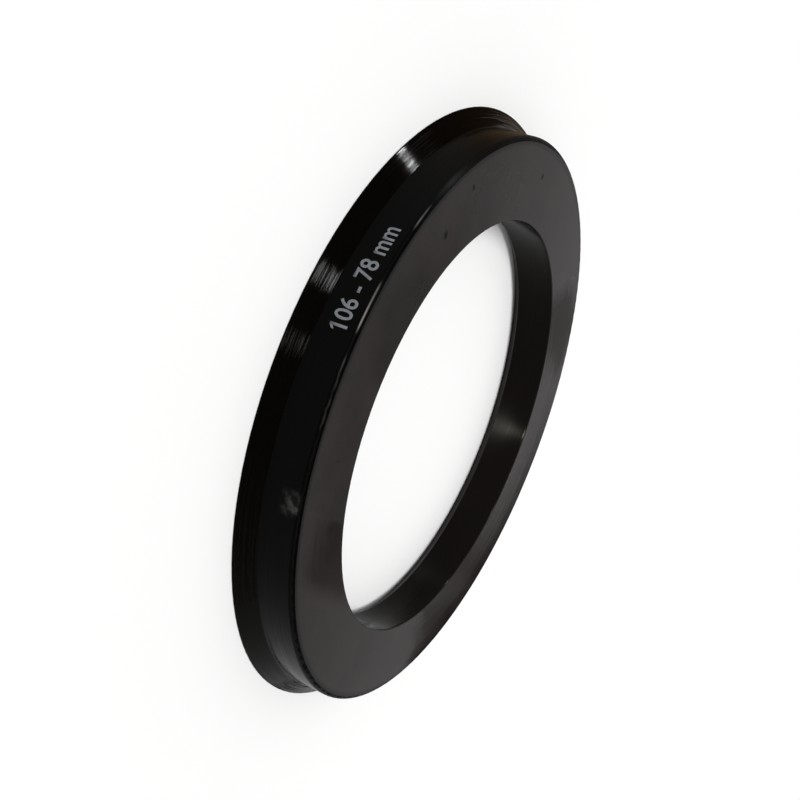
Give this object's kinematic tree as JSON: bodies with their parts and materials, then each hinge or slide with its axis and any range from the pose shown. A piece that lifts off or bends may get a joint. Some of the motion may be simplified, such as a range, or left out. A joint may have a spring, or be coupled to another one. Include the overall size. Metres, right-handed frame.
{
  "type": "hub centric ring",
  "caption": "Black plastic ring with a straight spigot, a tapered lip at its back and a plain bore, which centres a car wheel on a hub smaller than the wheel's own bore.",
  "frame": {"origin": "centre of the back face, on the ring's axis, where the ring lies on a surface", "axes": "+Z along the ring's axis, from the lip's back face to the spigot's front face; X and Y are free, because the ring is round"},
  "size_m": [0.1116, 0.1116, 0.0092],
  "materials": {
    "black_plastic": "satin"
  },
  "bodies": {
    "root": {"hub_ring": "black_plastic"}
  },
  "joints": []
}
